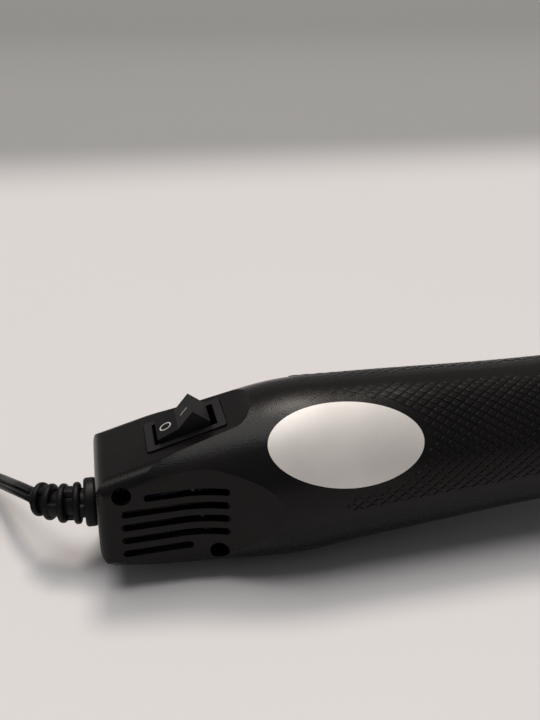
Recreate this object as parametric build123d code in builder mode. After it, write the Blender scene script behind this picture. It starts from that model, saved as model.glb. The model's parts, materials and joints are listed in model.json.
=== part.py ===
from build123d import *
from math import cos, dist, pi, radians, sin, sqrt, tan
import os

os.makedirs("parts", exist_ok=True)

# Frame: X runs forward to the nozzle, Z is up, the table is at Z 0 and the origin lies
# under the middle of the tool. Lengths are in millimetres and angles in degrees.

# Whole tool
overall_length = 232.0
body_length = 186.0
belly_radius = 23.3
wall = 2.2
running_gap = 0.05
seat_gap = 0.1
overrun = 60.0

# Barrel stations: distance along the body, then radius and height of the underside by belly_radius
barrel_shares = [
    (-0.032, 0.800, 0.052),
    (0.054, 0.833, 0.036),
    (0.129, 0.880, 0.018),
    (0.194, 0.944, 0.004),
    (0.258, 1.000, -0.009),
    (0.333, 0.987, 0.045),
    (0.457, 0.933, 0.150),
    (0.602, 0.873, 0.262),
    (0.726, 0.852, 0.322),
    (0.860, 0.871, 0.309),
    (1.000, 0.920, 0.260),
]
front_axis_height = belly_radius * (barrel_shares[-1][1] + barrel_shares[-1][2])
rear_x = -overall_length / 2
nozzle_front_x = overall_length / 2
body_front_x = rear_x + body_length

# Squared tail: slanting deck for the switch, flat slotted cheeks that ramp out to the barrel
tail_lift = 8.5
rest_start = 40.0
deck_slope = 16.5
deck_height = 38.1
deck_end = 35.2
deck_end_radius = 11.0
deck_end_turn = 60.0
cheek_half_width = 15.5
cheek_flat_end = 20.0
cheek_ramp_radius = 30.0
cheek_ramp_turn = 20.8
tail_corner_radius = 4.0
tail_heel_radius = 5.5
cheek_corner_radius = 3.0
deck_edge_radius = 4.0

# Air slots through both cheeks, the lowest first
slot_count = 5
slot_width = 2.0
slot_pitch = 3.85
slot_tilt = 2.2
slot_height = 11.6
slot_rear = 5.6
slot_front = 32.6
top_slot_rear = 11.5
low_slot_front = 23.4

# Rocker switch on the deck, measured from the rear face
switch_from_rear = 23.7
bezel_length = 21.0
bezel_width = 15.0
bezel_thickness = 1.8
bezel_proud = 0.4
bezel_corner_radius = 0.8
bezel_gap = 0.25
switch_length = 19.0
switch_width = 13.0
switch_depth = 12.5
window_length = 16.8
window_width = 11.0
window_depth = 8.8
rocker_side_gap = 0.25
rocker_half_length = 7.25
rocker_peak_half_length = 5.75
rocker_peak_height = 5.1
rocker_dip_height = 3.85
rocker_foot_height = -0.2
rocker_keel_half_length = 3.6
rocker_keel_depth = 5.6
rocker_pivot_depth = 1.5
rocker_throw = 22.0
rocker_pin_radius = 1.1
rocker_pin_length = 0.8
switch_tab_count = 2
switch_tab_length = 7.5
switch_tab_width = 4.8
switch_tab_thickness = 0.8
switch_tab_pitch = 8.0
switch_x = rear_x + switch_from_rear
deck_plane = Plane(
    origin=(switch_x, 0, deck_height),
    x_dir=(cos(radians(deck_slope)), 0, sin(radians(deck_slope))),
    z_dir=(-sin(radians(deck_slope)), 0, cos(radians(deck_slope))),
)

# Housing screws along Y, two in the tail and two in the front
tail_top_screw_from_rear = 6.2
tail_top_screw_height = 28.4
tail_low_screw_from_rear = 29.8
tail_low_screw_height = 10.4
front_screw_from_rear = 152.0
front_screw_offset = 14.5
screw_shank_diameter = 2.5
screw_head_diameter = 4.4
screw_head_height = 1.8
screw_drive_width = 0.7
screw_drive_depth = 0.8
screw_length = 14.0
screw_seat = 9.0
screw_recess_diameter = 4.8
boss_diameter = 7.4
boss_half_length = 14.4
front_screw_x = rear_x + front_screw_from_rear
screw_places = [
    (rear_x + tail_top_screw_from_rear, tail_top_screw_height),
    (rear_x + tail_low_screw_from_rear, tail_low_screw_height),
    (front_screw_x, front_axis_height + front_screw_offset),
    (front_screw_x, front_axis_height - front_screw_offset),
]

# Oval plate, set in a shallow seat on the near side of the barrel
plate_length = 40.0
plate_height = 22.0
plate_from_rear = 62.3
plate_axis_height = 24.1
plate_angle = 39.0
plate_tilt = 3.5
plate_thickness = 0.5
plate_proud = 0.15
plate_prism_start = 10.0

# Front neck, collar and nozzle
neck_length = 6.0
neck_radius = 19.9
collar_radius = 21.9
collar_length = 10.0
collar_lip_radius = 20.4
collar_round = 2.0
nozzle_radius = 15.0
nozzle_wall = 0.5
nozzle_groove_gap = 0.2
nozzle_groove_width = 1.6
nozzle_groove_depth = 0.25
nozzle_bead_radius = 0.5
nozzle_flange_radius = 17.4
nozzle_flange_thickness = 1.0
nozzle_flange_from_rear = 175.8
flange_groove_gap = 0.2
nozzle_seat_length = 3.6
nozzle_throat_radius = 14.0

# Motor, its cage and the fan, all on the front axis
motor_radius = 12.2
motor_front_from_rear = 129.0
motor_length = 31.0
motor_edge_radius = 1.0
motor_nose_radius = 4.0
motor_nose_length = 2.0
motor_cap_length = 3.0
motor_cap_inset = 0.3
motor_cap_boss_radius = 3.2
motor_cap_boss_length = 1.6
motor_tab_width = 2.8
motor_tab_thickness = 0.5
motor_tab_length = 5.0
motor_tab_offset = 7.5
shaft_radius = 1.0
shaft_overhang = 0.6
cage_from_rear = 120.2
cage_length = 5.6
cage_radius = 16.9
cage_rim = 1.4
cage_hub_wall = 1.2
cage_spoke_width = 2.2
cage_spoke_count = 4
cage_groove_gap = 0.2
cage_rib_thickness = 1.6
cage_rib_radius = 15.6
fan_from_rear = 133.0
fan_length = 8.0
fan_hub_radius = 4.4
fan_nose_round = 1.2
fan_radius = 14.2
fan_blade_count = 7
fan_blade_chord = 8.6
fan_blade_thickness = 0.9
fan_root_pitch = 28.0
fan_tip_pitch = 55.0
fan_bore_gap = 0.02

# Heater inside the nozzle
sleeve_from_rear = 178.2
sleeve_length = 46.0
sleeve_wall = 0.5
sleeve_gap = 0.15
cross_length = 42.0
cross_thickness = 0.6
cross_end_length = 3.0
cross_coil_gap = 0.15
heater_coil_radius = 10.8
heater_wire_radius = 0.45
heater_coil_pitch = 2.8
heater_coil_turns = 12
heater_base_thickness = 1.6
heater_base_hole_radius = 2.5
heater_base_hole_count = 8
heater_base_hole_ring = 9.4
heater_base_centre_hole_radius = 3.2
thermostat_length = 13.0
thermostat_width = 6.6
thermostat_thickness = 3.4
thermostat_offset = 5.8
thermostat_round = 0.8
fuse_length = 11.0
fuse_radius = 1.9
fuse_tip_length = 2.2
fuse_tip_radius = 0.9
fuse_offset = 5.8

# Circuit board on two low ribs
board_from_rear = 52.0
board_length = 28.0
board_width = 24.0
board_thickness = 1.6
board_height = 13.0
board_rib_thickness = 1.8
board_rib_inset = 3.0
diode_radius = 1.35
diode_length = 5.2
diode_pitch = 4.6
diode_count = 4
diode_lead_radius = 0.35
diode_lead_reach = 1.6
diode_from_board_rear = 7.0
capacitor_length = 5.0
capacitor_width = 13.0
capacitor_height = 11.0
capacitor_from_board_rear = 19.0
capacitor_round = 0.7

# Folding wire stand
stand_wire_radius = 1.2
stand_from_rear = 168.0
stand_pivot_height = 19.5
stand_half_width = 22.4
stand_lean = 20.0
stand_bend_radius = 3.0
stand_pin_end = 14.2
stand_boss_radius = 3.4
stand_boss_start = 12.4

# Lead, strain relief and plug
cord_diameter = 4.2
relief_height = 18.2
relief_neck_radius = 4.0
relief_flange_radius = 6.4
relief_flange_thickness = 3.2
relief_flange_round = 0.8
relief_stop_radius = 5.4
relief_stop_thickness = 1.6
relief_ring_count = 4
relief_ring_thickness = 1.9
relief_ring_round = 0.6
relief_first_ring_radius = 5.5
relief_last_ring_radius = 4.5
relief_core_first_radius = 3.9
relief_core_last_radius = 3.1
relief_tip_back = 15.6
relief_tip_side = 6.7
relief_tip_drop = 1.2
relief_first_ring_share = 0.13
relief_last_ring_share = 0.93
coil_centre = (-184.0, 13.0)
coil_entry_bearing = 100.0
coil_inner_radius = 15.2
coil_pitch = 4.8
coil_layer_pitch = 4.7
coil_turns = 4
coil_return_turns = 4.5
coil_reversal_dip = 1.4
tie_wall = 0.7
tie_gap = 0.5
tie_width = 6.0
tie_corner_radius = 2.2
plug_width = 35.3
plug_thickness = 13.7
plug_length = 33.0
plug_face_length = 8.0
plug_tail_width = 13.0
plug_round = 2.6
plug_bearing = -137.0
plug_pin_pitch = 18.6
plug_pin_radius = 2.0
plug_pin_core_radius = 1.4
plug_pin_sleeve_radius = 1.9
plug_pin_length = 19.0
plug_sleeve_length = 10.0
plug_pin_root = 4.0

# Leads inside the body
lead_radius = 0.7
lead_bend_radius = 2.0
lead_spread = 1.6
lead_run = 8.0
lead_low_height = 15.4
return_lead_offset = 4.6
motor_lead_offset = 7.0
motor_lead_reach = 4.5
heater_lead_clearance = 0.8
lead_channel_half_width = 6.0
lead_channel_depth = 3.0

deck_rear_height = deck_height - switch_from_rear * tan(radians(deck_slope))
neck_x = body_front_x - neck_length
stand_x = rear_x + stand_from_rear
front_axis = Axis((0, 0, front_axis_height), (1, 0, 0))
nozzle_bore_radius = nozzle_radius - nozzle_wall
sleeve_radius = nozzle_bore_radius - sleeve_gap
sleeve_bore_radius = sleeve_radius - sleeve_wall


def across(x, height=0):
    """Plane square to the tool at x, its own X along Y and its own Y upwards."""
    return Plane(origin=(x, 0, height), x_dir=(0, 1, 0), z_dir=(1, 0, 0))


def barrel_form(grow):
    """The barrel before the tail is squared, its radius larger by grow."""
    with BuildPart() as form:
        for along_share, radius_share, underside_share in barrel_shares:
            radius = belly_radius * radius_share
            height = radius + belly_radius * underside_share
            with BuildSketch(across(rear_x + body_length * along_share, height)):
                Circle(radius + grow)
        loft()
    return form.part


def side_outline(inset):
    """The tail seen from the side: deck, rear face and the underside that it rests on."""
    with BuildSketch(Plane.XZ) as outline:
        with BuildLine():
            deck_rear = (rear_x, deck_rear_height)
            deck_front = (rear_x + deck_end, deck_rear_height + deck_end * tan(radians(deck_slope)))
            Line(deck_rear, deck_front)
            rise = JernArc(
                start=deck_front,
                tangent=(cos(radians(deck_slope)), sin(radians(deck_slope))),
                radius=deck_end_radius,
                arc_size=deck_end_turn,
            )
            brow = rise @ 1 + (rise % 1) * overrun
            Polyline(
                rise @ 1,
                brow,
                (nozzle_front_x, brow.Y),
                (nozzle_front_x, 0),
                (rear_x + rest_start, 0),
                (rear_x, tail_lift),
                deck_rear,
            )
        make_face()
        fillet(outline.vertices().group_by(Axis.X)[0].sort_by(Axis.Y)[-1], radius=tail_corner_radius)
        fillet(outline.vertices().group_by(Axis.X)[0].sort_by(Axis.Y)[0], radius=tail_heel_radius)
        offset(amount=-inset, kind=Kind.INTERSECTION)
    return outline.sketch


def top_outline(inset):
    """The tail seen from above: rear face and cheeks that ramp out to the barrel."""
    with BuildSketch(Plane.XY) as outline:
        with BuildLine():
            cheek = Polyline(
                (rear_x, 0), (rear_x, cheek_half_width), (rear_x + cheek_flat_end, cheek_half_width)
            )
            ramp = JernArc(
                start=cheek @ 1, tangent=(1, 0), radius=cheek_ramp_radius, arc_size=cheek_ramp_turn
            )
            far = ramp @ 1 + (ramp % 1) * overrun
            Polyline(ramp @ 1, far, (nozzle_front_x, far.Y), (nozzle_front_x, 0), (rear_x, 0))
        make_face()
        mirror(about=Plane.XZ)
        fillet(outline.vertices().group_by(Axis.X)[0], radius=cheek_corner_radius)
        offset(amount=-inset, kind=Kind.INTERSECTION)
    return outline.sketch


def body_form(inset):
    """The whole body as a solid, its skin moved inwards by inset."""
    with BuildPart() as form:
        add(barrel_form(-inset))
        extrude(side_outline(inset), amount=overrun, both=True, mode=Mode.INTERSECT)
        extrude(top_outline(inset), amount=overrun, both=True, mode=Mode.INTERSECT)
    return form.part


def deck_edge_spandrels():
    """What the rounding of the deck's long edges takes off beside the switch."""
    with BuildPart() as form:
        with BuildSketch(Plane(origin=deck_plane.origin, x_dir=(0, 1, 0), z_dir=deck_plane.x_dir)):
            Rectangle(2 * cheek_half_width, deck_edge_radius, align=(Align.CENTER, Align.MAX))
            RectangleRounded(
                2 * cheek_half_width,
                4 * deck_edge_radius,
                deck_edge_radius,
                align=(Align.CENTER, Align.MAX),
                mode=Mode.SUBTRACT,
            )
        extrude(amount=-overrun)
    return form.part


def ring(x, length, radius, bore_radius):
    """Plain ring or disc on the front axis, from x forwards."""
    with BuildPart() as form:
        with BuildSketch(across(x, front_axis_height)):
            Circle(radius)
            if bore_radius > 0:
                Circle(bore_radius, mode=Mode.SUBTRACT)
        extrude(amount=length)
    return form.part


def corner_radii(points):
    """The largest bend at each corner that leaves a tenth of the shorter run straight."""
    radii = []
    for before, corner, after in zip(points, points[1:], points[2:]):
        run_in = Vector(corner) - Vector(before)
        run_out = Vector(after) - Vector(corner)
        half_turn = radians(run_in.get_angle(run_out)) / 2
        shorter = min(run_in.length, run_out.length)
        radii.append(0.45 * shorter / tan(half_turn))
    return radii


def tube(points, radii, tube_radius, name):
    """Round tube of straight runs and tangent arcs through a route."""
    with BuildPart() as form:
        with BuildLine():
            path = FilletPolyline(*points, radius=radii)
        with BuildSketch(Plane(origin=path @ 0, z_dir=path % 0)):
            Circle(tube_radius)
        sweep(path=path)
    share = form.part.volume / (pi * tube_radius**2 * path.length)
    print(f"{name}: {path.length:.1f} long, volume share {share:.4f}")
    return form.part


def wound_tube(point_at, stops, tube_radius, name):
    """One unbroken tube on tangent arcs, two between each stop of the curve point_at(turn)."""
    turn_step = 0.001
    nodes = [point_at(turn) for turn in stops]
    directions = [(point_at(turn + turn_step) - point_at(turn - turn_step)).normalized() for turn in stops]
    with BuildPart() as form:
        with BuildLine() as route:
            for start, end, out, into in zip(nodes, nodes[1:], directions, directions[1:]):
                span = end - start
                both = out + into
                # Reach along both end directions that makes the two arcs meet tangent
                square = both.dot(both) - 4
                middle = -2 * span.dot(both)
                reach = (-middle - sqrt(middle**2 - 4 * square * span.dot(span))) / (2 * square)
                knee = start + out * reach
                elbow = end - into * reach
                meeting = (knee + elbow) / 2
                TangentArc(start, meeting, tangent=out)
                TangentArc(meeting, end, tangent=elbow - knee)
        with BuildSketch(Plane(origin=nodes[0], z_dir=directions[0])):
            Circle(tube_radius)
        sweep()
    # Least gap between stretches of the tube that lie over a third of a turn apart
    path = route.wire()
    samples = 1600
    points = [tuple(path @ (index / samples)) for index in range(samples + 1)]
    apart = round(samples / (3 * (stops[-1] - stops[0])))
    least = min(dist(a, b) for index, a in enumerate(points) for b in points[index + apart :])
    least -= 2 * tube_radius
    share = form.part.volume / (pi * tube_radius**2 * path.length)
    print(f"{name}: {path.length:.1f} long, least gap {least:.2f}, volume share {share:.4f}")
    return form.part


def save(part, label):
    part.label = label
    export_step(part, f"parts/{label}.step")


# Bosses, ribs and ledges that stand inside both shells
flange_x = rear_x + nozzle_flange_from_rear
groove_rear_x = flange_x - flange_groove_gap
groove_front_x = flange_x + nozzle_flange_thickness + flange_groove_gap
cage_x = rear_x + cage_from_rear
cage_groove_rear_x = cage_x - cage_groove_gap
cage_groove_front_x = cage_x + cage_length + cage_groove_gap
board_x = rear_x + board_from_rear
board_top = board_height + board_thickness
board_rib_places = [
    board_x + board_rib_inset,
    board_x + board_length - board_rib_inset - board_rib_thickness,
]
with BuildPart() as inner_works:
    with BuildSketch(Plane.XZ):
        with Locations(*screw_places):
            Circle(boss_diameter / 2)
    extrude(amount=boss_half_length, both=True)
    with BuildSketch(Plane.XZ.offset(stand_boss_start)):
        with Locations((stand_x, stand_pivot_height)):
            Circle(stand_boss_radius)
    stand_boss = extrude(amount=belly_radius)
    mirror(stand_boss, about=Plane.XZ)
    add(ring(groove_rear_x - nozzle_seat_length, nozzle_seat_length, belly_radius, nozzle_throat_radius))
    add(ring(groove_front_x, body_front_x - groove_front_x, belly_radius, nozzle_radius + seat_gap))
    add(ring(cage_groove_rear_x - cage_rib_thickness, cage_rib_thickness, belly_radius, cage_rib_radius))
    add(ring(cage_groove_front_x, cage_rib_thickness, belly_radius, cage_rib_radius))
    for rib_x in board_rib_places:
        with BuildSketch(across(rib_x)):
            Rectangle(2 * belly_radius, board_height, align=(Align.CENTER, Align.MIN))
        extrude(amount=board_rib_thickness)
    # Channel that lets the heater leads pass the cage ribs
    with BuildSketch(across(cage_groove_rear_x - cage_rib_thickness, front_axis_height - cage_rib_radius)):
        Rectangle(2 * lead_channel_half_width, 2 * lead_channel_depth)
    extrude(amount=cage_length + 2 * (cage_groove_gap + cage_rib_thickness), mode=Mode.SUBTRACT)
    add(body_form(wall / 2), mode=Mode.INTERSECT)

# Seat and blank of the oval plate
plate_x = rear_x + plate_from_rear
plate_normal = Vector(0, -cos(radians(plate_angle)), sin(radians(plate_angle)))
plate_plane = Plane(
    origin=Vector(plate_x, 0, plate_axis_height) + plate_normal * plate_prism_start,
    x_dir=(1, 0, 0),
    z_dir=plate_normal,
)
plate_floor = plate_proud - plate_thickness
with BuildPart() as plate_seat:
    with BuildSketch(plate_plane):
        Ellipse(plate_length / 2 + seat_gap, plate_height / 2 + seat_gap, rotation=-plate_tilt)
    extrude(amount=belly_radius)
    add(barrel_form(plate_floor - seat_gap), mode=Mode.SUBTRACT)
with BuildPart() as rating_plate:
    with BuildSketch(plate_plane):
        Ellipse(plate_length / 2, plate_height / 2, rotation=-plate_tilt)
    extrude(amount=belly_radius)
    add(barrel_form(plate_proud), mode=Mode.INTERSECT)
    add(barrel_form(plate_floor), mode=Mode.SUBTRACT)
save(rating_plate.part, "rating_plate")

# Housing, made whole and then parted along its middle
with BuildPart() as housing:
    add(body_form(0))
    add(body_form(wall), mode=Mode.SUBTRACT)
    add(inner_works.part)
    add(deck_edge_spandrels(), mode=Mode.SUBTRACT)
    add(ring(neck_x, neck_length, 2 * belly_radius, neck_radius), mode=Mode.SUBTRACT)
    add(plate_seat.part, mode=Mode.SUBTRACT)
    with BuildSketch(Plane.XZ):
        for index in range(slot_count):
            slot_start = top_slot_rear if index == slot_count - 1 else slot_rear
            slot_end = low_slot_front if index == 0 else slot_front
            middle = (slot_start + slot_end) / 2
            slot_rise = (middle - slot_rear) * tan(radians(slot_tilt))
            with Locations((rear_x + middle, slot_height + index * slot_pitch + slot_rise)):
                SlotOverall(slot_end - slot_start, slot_width, rotation=slot_tilt)
    extrude(amount=belly_radius, both=True, mode=Mode.SUBTRACT)
    with BuildSketch(deck_plane):
        RectangleRounded(
            bezel_length + 2 * bezel_gap, bezel_width + 2 * bezel_gap, bezel_corner_radius + bezel_gap
        )
    extrude(amount=-(bezel_thickness - bezel_proud), mode=Mode.SUBTRACT)
    with BuildSketch(deck_plane):
        Rectangle(switch_length + 2 * seat_gap, switch_width + 2 * seat_gap)
    extrude(amount=-switch_depth, mode=Mode.SUBTRACT)
    with BuildSketch(across(rear_x, relief_height)):
        Circle(relief_neck_radius + seat_gap)
    extrude(amount=2 * wall, both=True, mode=Mode.SUBTRACT)
    with BuildSketch(across(rear_x + wall, relief_height)):
        Circle(relief_stop_radius + seat_gap)
    extrude(amount=relief_stop_thickness + seat_gap, mode=Mode.SUBTRACT)
    with BuildSketch(Plane.XZ.offset(screw_seat)):
        with Locations(*screw_places):
            Circle(screw_recess_diameter / 2)
    extrude(amount=belly_radius, mode=Mode.SUBTRACT)
    with BuildSketch(Plane.XZ.offset(screw_seat)):
        with Locations(*screw_places):
            Circle(screw_shank_diameter / 2 + seat_gap)
    extrude(amount=-(screw_length + seat_gap), mode=Mode.SUBTRACT)
    with BuildSketch(Plane.XZ.offset(stand_pin_end - seat_gap)):
        with Locations((stand_x, stand_pivot_height)):
            Circle(stand_wire_radius + running_gap)
    stand_hole = extrude(amount=belly_radius, mode=Mode.SUBTRACT)
    mirror(stand_hole, about=Plane.XZ, mode=Mode.SUBTRACT)
with BuildPart() as right_shell:
    add(housing.part)
    split(bisect_by=Plane.XZ, keep=Keep.TOP)
save(right_shell.part, "right_shell")
with BuildPart() as left_shell:
    add(housing.part)
    split(bisect_by=Plane.XZ, keep=Keep.BOTTOM)
save(left_shell.part, "left_shell")

# Screws: domed head with a cross drive, plain shank
with BuildPart() as housing_screws:
    with BuildSketch(Plane.XZ.offset(screw_seat)):
        with Locations(*screw_places):
            Circle(screw_head_diameter / 2)
    extrude(amount=screw_head_height)
    fillet(housing_screws.edges().group_by(Axis.Y)[0], radius=screw_head_height / 3)
    with BuildSketch(Plane.XZ.offset(screw_seat + screw_head_height)):
        with Locations(*screw_places):
            Rectangle(screw_head_diameter / 2, screw_drive_width)
            Rectangle(screw_drive_width, screw_head_diameter / 2)
    extrude(amount=-screw_drive_depth, mode=Mode.SUBTRACT)
    with BuildSketch(Plane.XZ.offset(screw_seat)):
        with Locations(*screw_places):
            Circle(screw_shank_diameter / 2)
    extrude(amount=-screw_length)
save(housing_screws.part, "housing_screws")

# Collar that ties the shells together at the front
with BuildPart() as front_collar:
    with BuildSketch(Plane.XZ):
        collar_rear_x = neck_x + seat_gap
        collar_front_x = collar_rear_x + collar_length
        axis_z = front_axis_height
        with BuildLine():
            Polyline(
                (collar_rear_x, axis_z + neck_radius + seat_gap),
                (collar_rear_x, axis_z + collar_radius),
                (collar_rear_x + collar_length / 2, axis_z + collar_radius),
                (collar_front_x, axis_z + collar_lip_radius),
                (collar_front_x, axis_z + nozzle_radius + 2 * seat_gap),
                (body_front_x + seat_gap, axis_z + nozzle_radius + 2 * seat_gap),
                (body_front_x + seat_gap, axis_z + neck_radius + seat_gap),
                close=True,
            )
        make_face()
    revolve(axis=front_axis)
    front_edges = front_collar.edges().filter_by(GeomType.CIRCLE).group_by(Axis.X)[-1]
    fillet(front_edges.sort_by(SortBy.RADIUS)[-1], radius=collar_round)
save(front_collar.part, "front_collar")

# Nozzle: thin tube with a flange behind, a groove before the collar and a bead rolled inwards at the mouth
nozzle_groove_x = collar_front_x + nozzle_groove_gap
with BuildPart() as nozzle_tube:
    with BuildSketch(Plane.XZ):
        with BuildLine():
            Polyline(
                (flange_x, axis_z + nozzle_bore_radius),
                (flange_x, axis_z + nozzle_flange_radius),
                (flange_x + nozzle_flange_thickness, axis_z + nozzle_flange_radius),
                (flange_x + nozzle_flange_thickness, axis_z + nozzle_radius),
                (nozzle_groove_x, axis_z + nozzle_radius),
                (nozzle_groove_x + nozzle_groove_width / 2, axis_z + nozzle_radius - nozzle_groove_depth),
                (nozzle_groove_x + nozzle_groove_width, axis_z + nozzle_radius),
                (nozzle_front_x, axis_z + nozzle_radius),
                (nozzle_front_x, axis_z + nozzle_bore_radius),
            )
            ThreePointArc(
                (nozzle_front_x, axis_z + nozzle_bore_radius),
                (nozzle_front_x - nozzle_bead_radius, axis_z + nozzle_bore_radius - nozzle_bead_radius),
                (nozzle_front_x - 2 * nozzle_bead_radius, axis_z + nozzle_bore_radius),
            )
            Line(
                (nozzle_front_x - 2 * nozzle_bead_radius, axis_z + nozzle_bore_radius),
                (flange_x, axis_z + nozzle_bore_radius),
            )
        make_face()
    revolve(axis=front_axis)
save(nozzle_tube.part, "nozzle_tube")

# Heater: mica sleeve and cross, wound element, base with its two cut-outs
sleeve_x = rear_x + sleeve_from_rear
save(ring(sleeve_x, sleeve_length, sleeve_radius, sleeve_bore_radius), "mica_sleeve")
cross_x = sleeve_x + heater_base_thickness + seat_gap
coil_seat_radius = heater_coil_radius - heater_wire_radius - cross_coil_gap
with BuildPart() as mica_cross:
    board_profile = [
        (cross_x, sleeve_bore_radius - seat_gap, cross_end_length),
        (cross_x + cross_end_length, coil_seat_radius, cross_length - 2 * cross_end_length),
        (cross_x + cross_length - cross_end_length, sleeve_bore_radius - seat_gap, cross_end_length),
    ]
    for start_x, half_height, length in board_profile:
        with BuildSketch(across(start_x, front_axis_height)):
            Rectangle(2 * half_height, cross_thickness)
            Rectangle(cross_thickness, 2 * half_height)
        extrude(amount=length)
save(mica_cross.part, "mica_cross")

heater_coil_span = heater_coil_turns * heater_coil_pitch
heater_coil_start_x = cross_x + (cross_length - heater_coil_span) / 2
heater_coil_phase = pi / 4


def heater_coil_point(turn):
    angle = 2 * pi * turn + heater_coil_phase
    return Vector(
        heater_coil_start_x + heater_coil_pitch * turn,
        heater_coil_radius * cos(angle),
        front_axis_height + heater_coil_radius * sin(angle),
    )


heater_stops = [half / 2 for half in range(2 * heater_coil_turns + 1)]
heating_coil = wound_tube(heater_coil_point, heater_stops, heater_wire_radius, "heating coil")
save(heating_coil, "heating_coil")

with BuildPart() as heater_base:
    with BuildSketch(across(sleeve_x, front_axis_height)):
        Circle(sleeve_bore_radius - seat_gap)
        Circle(heater_base_centre_hole_radius, mode=Mode.SUBTRACT)
        with PolarLocations(heater_base_hole_ring, heater_base_hole_count):
            Circle(heater_base_hole_radius, mode=Mode.SUBTRACT)
    extrude(amount=heater_base_thickness)
save(heater_base.part, "heater_base")

with BuildPart() as thermostat:
    with BuildSketch(across(sleeve_x - seat_gap, front_axis_height + thermostat_offset)):
        Rectangle(thermostat_width, thermostat_thickness)
    extrude(amount=-thermostat_length)
    fillet(thermostat.edges().filter_by(Axis.X), radius=thermostat_round)
save(thermostat.part, "thermostat")

with BuildPart() as thermal_fuse:
    with BuildSketch(across(sleeve_x - seat_gap, front_axis_height - fuse_offset)):
        Circle(fuse_radius)
    extrude(amount=-fuse_length)
    with BuildSketch(across(sleeve_x - seat_gap - fuse_length, front_axis_height - fuse_offset)):
        Circle(fuse_radius)
    fuse_tip_x = sleeve_x - seat_gap - fuse_length - fuse_tip_length
    with BuildSketch(across(fuse_tip_x, front_axis_height - fuse_offset)):
        Circle(fuse_tip_radius)
    loft()
save(thermal_fuse.part, "thermal_fuse")

# Motor: can with a nose, end cap with a boss and two solder tabs
motor_front_x = rear_x + motor_front_from_rear
motor_rear_x = motor_front_x - motor_length
with BuildPart() as motor_can:
    with BuildSketch(across(motor_rear_x, front_axis_height)):
        Circle(motor_radius)
    extrude(amount=motor_length)
    fillet(motor_can.edges().group_by(Axis.X)[-1], radius=motor_edge_radius)
    with BuildSketch(across(motor_front_x, front_axis_height)):
        Circle(motor_nose_radius)
    extrude(amount=motor_nose_length)
    with BuildSketch(across(motor_rear_x, front_axis_height)):
        Circle(shaft_radius + running_gap)
    extrude(amount=motor_length + motor_nose_length, mode=Mode.SUBTRACT)
save(motor_can.part, "motor_can")

with BuildPart() as motor_end_cap:
    with BuildSketch(across(motor_rear_x, front_axis_height)):
        Circle(motor_radius - motor_cap_inset)
    extrude(amount=-motor_cap_length)
    with BuildSketch(across(motor_rear_x - motor_cap_length, front_axis_height)):
        Circle(motor_cap_boss_radius)
    extrude(amount=-motor_cap_boss_length)
    with BuildSketch(across(motor_rear_x, front_axis_height)):
        Circle(shaft_radius + running_gap)
    extrude(amount=-(motor_cap_length + motor_cap_boss_length), mode=Mode.SUBTRACT)
save(motor_end_cap.part, "motor_end_cap")

motor_cap_x = motor_rear_x - motor_cap_length
with BuildPart() as motor_tabs:
    with BuildSketch(across(motor_cap_x, front_axis_height)):
        with Locations((-motor_tab_offset, 0), (motor_tab_offset, 0)):
            Rectangle(motor_tab_thickness, motor_tab_width)
    extrude(amount=-motor_tab_length)
save(motor_tabs.part, "motor_tabs")

fan_x = rear_x + fan_from_rear
shaft_rear_x = motor_cap_x - motor_cap_boss_length - shaft_overhang
shaft_front_x = fan_x + fan_length + shaft_overhang
save(ring(shaft_rear_x, shaft_front_x - shaft_rear_x, shaft_radius, 0), "motor_shaft")

# Cage that centres the motor between two ribs of the shells
with BuildPart() as motor_cage:
    add(ring(cage_x, cage_length, cage_radius, cage_radius - cage_rim))
    add(ring(cage_x, cage_length, motor_radius + seat_gap + cage_hub_wall, motor_radius + seat_gap))
    with BuildSketch(across(cage_x, front_axis_height)):
        with PolarLocations((cage_radius + motor_radius) / 2, cage_spoke_count, start_angle=45):
            Rectangle(cage_radius - motor_radius - 2 * seat_gap, cage_spoke_width)
    extrude(amount=cage_length)
    with BuildSketch(across(cage_x, front_axis_height - cage_rib_radius)):
        Rectangle(2 * lead_channel_half_width, 2 * lead_channel_depth)
    extrude(amount=cage_length, mode=Mode.SUBTRACT)
    add(ring(cage_x, cage_length, motor_radius + seat_gap + cage_hub_wall, motor_radius + seat_gap))
save(motor_cage.part, "motor_cage")

# Fan: hub with twisted blades
with BuildPart() as fan:
    with BuildSketch(across(fan_x, front_axis_height)):
        Circle(fan_hub_radius)
    extrude(amount=fan_length)
    fillet(fan.edges().group_by(Axis.X)[-1], radius=fan_nose_round)
    for index in range(fan_blade_count):
        angle = 2 * pi * index / fan_blade_count
        outward = Vector(0, cos(angle), sin(angle))
        hub_middle = Vector(fan_x + fan_length / 2, 0, front_axis_height)
        root = hub_middle + outward * (fan_hub_radius - fan_blade_thickness)
        tip = hub_middle + outward * fan_radius
        for place, pitch in ((root, fan_root_pitch), (tip, fan_tip_pitch)):
            with BuildSketch(Plane(origin=place, x_dir=(1, 0, 0), z_dir=outward)):
                SlotOverall(fan_blade_chord, fan_blade_thickness, rotation=pitch)
        loft()
    with BuildSketch(across(fan_x, front_axis_height)):
        Circle(shaft_radius + fan_bore_gap)
    extrude(amount=fan_length, mode=Mode.SUBTRACT)
save(fan.part, "fan")

# Circuit board with its rectifier diodes and capacitor
with BuildPart() as circuit_board:
    with BuildSketch(Plane.XY.offset(board_height)):
        with Locations((board_x + board_length / 2, 0)):
            Rectangle(board_length, board_width)
    extrude(amount=board_thickness)
save(circuit_board.part, "circuit_board")

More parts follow.
